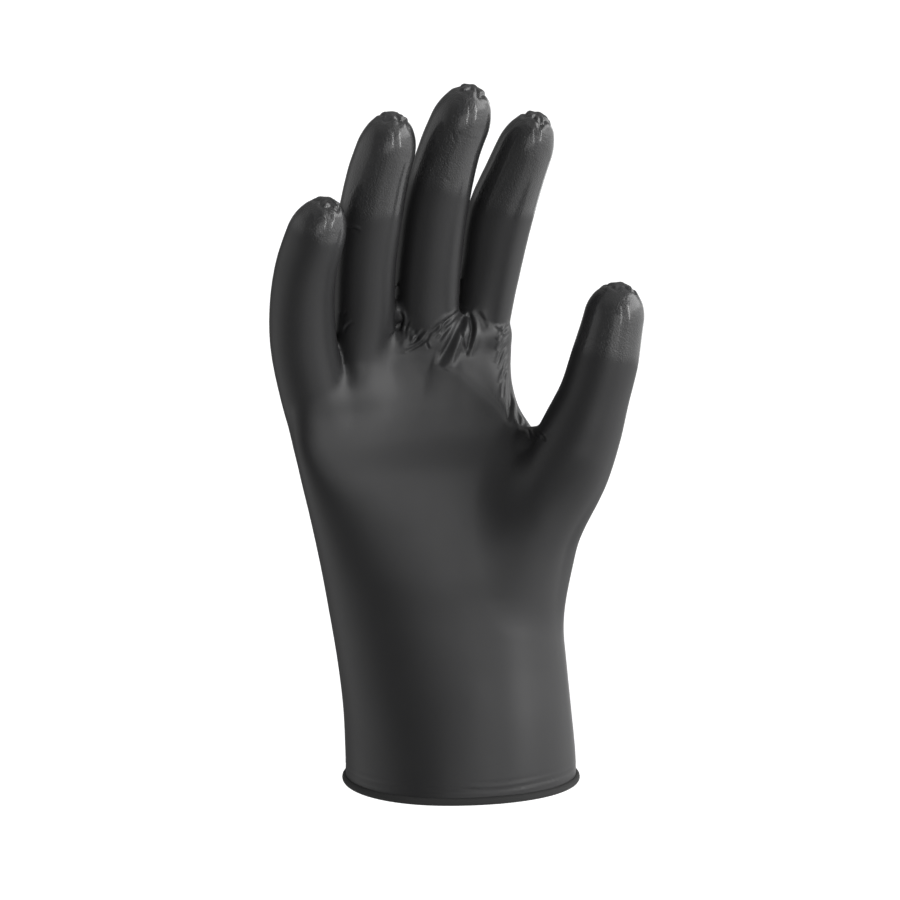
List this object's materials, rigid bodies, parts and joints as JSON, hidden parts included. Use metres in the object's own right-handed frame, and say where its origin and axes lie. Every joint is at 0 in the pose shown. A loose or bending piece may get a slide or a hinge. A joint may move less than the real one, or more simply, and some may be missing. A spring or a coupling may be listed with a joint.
{
  "type": "nitrile exam glove",
  "caption": "Thin black dipped glove in the form of a slightly bent hand, open at the cuff, with a rolled rim.",
  "frame": {"origin": "middle of the cuff opening, level with the lowest edge of the rolled rim", "axes": "+Z from the cuff along the arm towards the fingertips, -Y the way the palm faces, +X from the little finger's side to the thumb's side"},
  "size_m": [0.1235, 0.0772, 0.2396],
  "materials": {
    "nitrile": "black dipped nitrile, satin, with fine grain and a brighter gloss at the fingertips"
  },
  "bodies": {
    "root": {"glove_film": "nitrile"}
  },
  "joints": []
}
